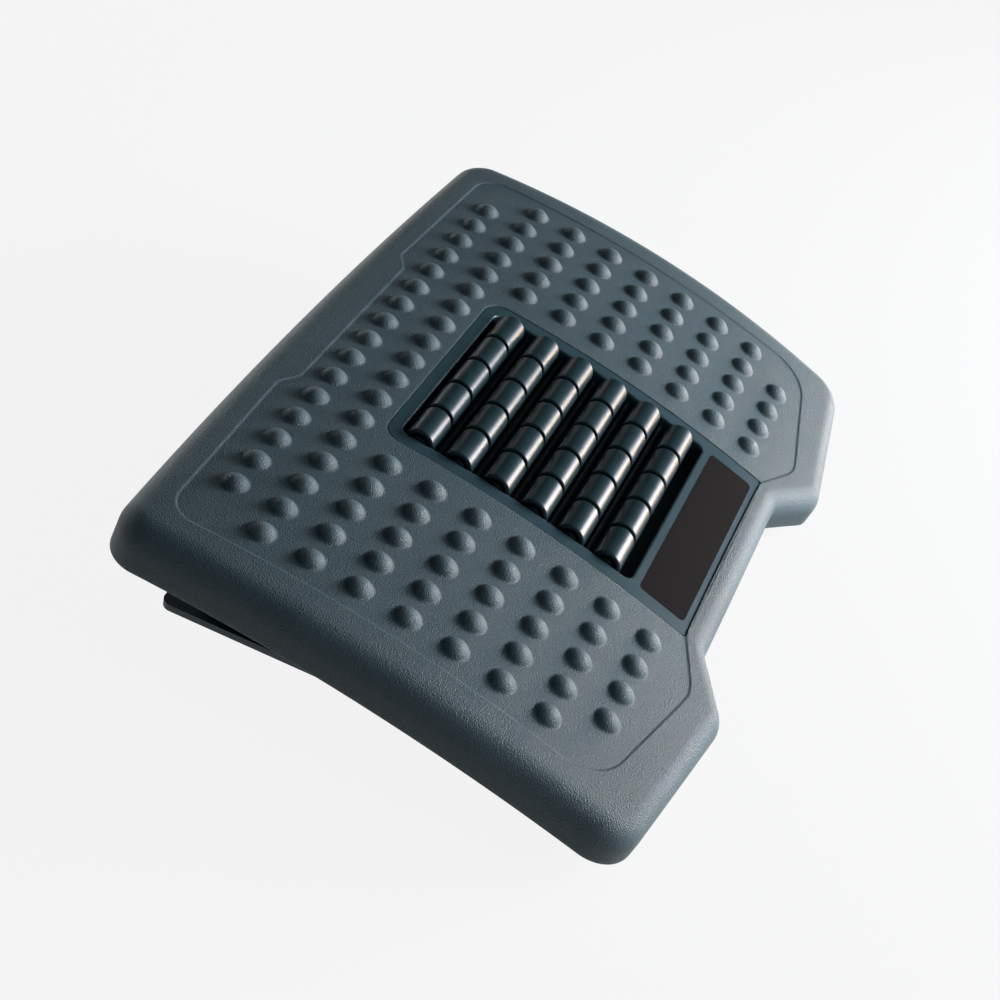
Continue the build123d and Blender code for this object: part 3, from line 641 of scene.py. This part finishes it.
def buildFloor():
    # one square just below the feet; a small share of its shade is left as the shadow
    material, tree, shader = newMaterial("floorPaintedMatt")
    shader.inputs["Base Color"].default_value = hexColour(floorLook["colour"])
    shader.inputs["Roughness"].default_value = 0.9
    glow = addNode(tree, "ShaderNodeEmission")
    glow.inputs["Color"].default_value = hexColour(floorLook["seen"])
    share = addNode(tree, "ShaderNodeMath", {0: seenDirectly(tree)}, operation="MULTIPLY")
    share.inputs[1].default_value = 1 - floorLook["shadow"]
    blend = addNode(tree, "ShaderNodeMixShader",
                    {0: share.outputs[0], 1: shader.outputs[0], 2: glow.outputs[0]})
    output = next(n for n in tree.nodes if n.bl_idname == "ShaderNodeOutputMaterial")
    tree.links.new(blend.outputs[0], output.inputs["Surface"])
    half, low = floorLook["size"] / 2, -floorLook["below"]
    corners = np.array([(-half, -half, low), (half, -half, low), (half, half, low), (-half, half, low)])
    mesh = meshFrom("studioFloor", corners, [np.array([[0, 1, 2, 3]])])
    mesh.materials.append(material)
    floor = bpy.data.objects.new("studioFloor", mesh)
    bpy.context.scene.collection.objects.link(floor)


# studio: soft boxes (place, aim in metres, size, watts, colour) in a dim room
studio = {
    "keySoftbox": ((0.56, -0.88, 0.36), (0.08, -0.03, 0.06), (0.6, 0.36), 23.0, "#f6f8ff"),
    "frontFill": ((0.05, -1.15, 0.80), (0.0, -0.03, 0.06), (1.0, 0.6), 7.0, "#f8f9ff"),
    "coolStrip": ((1.05, -0.66, 0.26), (0.0, -0.03, 0.08), (0.5, 0.22), 1.5, "#a8ccff"),
    "warmStrip": ((1.0, -0.74, 0.07), (0.0, -0.03, 0.08), (0.8, 0.13), 6.5, "#ffd9ad"),
    "topFill": ((-0.2, -0.5, 1.5), (0.0, 0.0, 0.05), (1.2, 1.2), 1.4, "#cfeaf2"),
    "backStrip": ((0.6, 1.1, 0.15), (0.05, 0.0, 0.05), (1.1, 0.22), 3.5, "#e2eff3"),
    "backGlow": ((1.0, 0.7, 0.35), (0.0, 0.0, 0.06), (0.5, 0.4), 0.25, "#efe2d4"),
}
roomLook = {"high": "#1a2b2f", "low": "#2c4045", "seen": "#e4e7e8", "rise": (0.05, 0.3)}


def buildStudio():
    # each soft box looks from its place to its aim; the room's tone goes by height
    for name, (spot, aim, size, watts, colour) in studio.items():
        lamp = bpy.data.lights.new(name, "AREA")
        lamp.shape = "RECTANGLE"
        lamp.size, lamp.size_y = size
        lamp.energy = watts
        lamp.color = hexColour(colour)[:3]
        holder = bpy.data.objects.new(name, lamp)
        holder.location = spot
        holder.rotation_euler = (Vector(aim) - Vector(spot)).to_track_quat("-Z", "Y").to_euler()
        bpy.context.scene.collection.objects.link(holder)
    world = bpy.data.worlds.new("studioRoom")
    world.use_nodes = True
    tree = world.node_tree
    tree.nodes.clear()
    way = addNode(tree, "ShaderNodeTexCoord").outputs["Generated"]
    split = addNode(tree, "ShaderNodeSeparateXYZ", {0: way})
    rise = addNode(tree, "ShaderNodeMapRange", {"Value": split.outputs["Z"]},
                   {"From Min": roomLook["rise"][0], "From Max": roomLook["rise"][1]})
    wall = addNode(tree, "ShaderNodeMix", {"Factor": seenDirectly(tree)}, data_type="RGBA")
    wall.inputs["A"].default_value = hexColour(roomLook["low"])
    wall.inputs["B"].default_value = hexColour(roomLook["seen"])
    tone = addNode(tree, "ShaderNodeMix", {"Factor": rise.outputs["Result"], "A": wall.outputs["Result"]},
                   data_type="RGBA")
    tone.inputs["B"].default_value = hexColour(roomLook["high"])
    sky = addNode(tree, "ShaderNodeBackground", {"Color": tone.outputs["Result"]})
    addNode(tree, "ShaderNodeOutputWorld", {"Surface": sky.outputs[0]})
    bpy.context.scene.world = world


# camera as the picture was taken: place from the hinge in metres, picture's right and down, lens in mm
view = {
    "place": (-0.7849, -0.1646, 0.59095),
    "right": (0.3625, -0.9081, 0.2098),
    "down": (-0.5191, -0.3837, -0.7637),
    "lens": 64.85,
    "sensor": 36.0,
}


def buildCamera():
    # ahead is right cross down, and upward is right cross ahead
    right = Vector(view["right"]).normalized()
    ahead = right.cross(Vector(view["down"])).normalized()
    upward = right.cross(ahead).normalized()
    camera = bpy.data.cameras.new("photoCamera")
    camera.lens = view["lens"]
    camera.sensor_width = view["sensor"]
    holder = bpy.data.objects.new("photoCamera", camera)
    turn = Matrix((right, upward, -ahead)).transposed()
    place = Vector(view["place"]) + Vector(stand["hinge"]) / 1000
    holder.matrix_world = Matrix.Translation(place) @ turn.to_4x4()
    bpy.context.scene.collection.objects.link(holder)
    bpy.context.scene.camera = holder


buildFloor()
buildStudio()
buildCamera()
bpy.context.scene.view_settings.view_transform = "Standard"
print("studio ready")
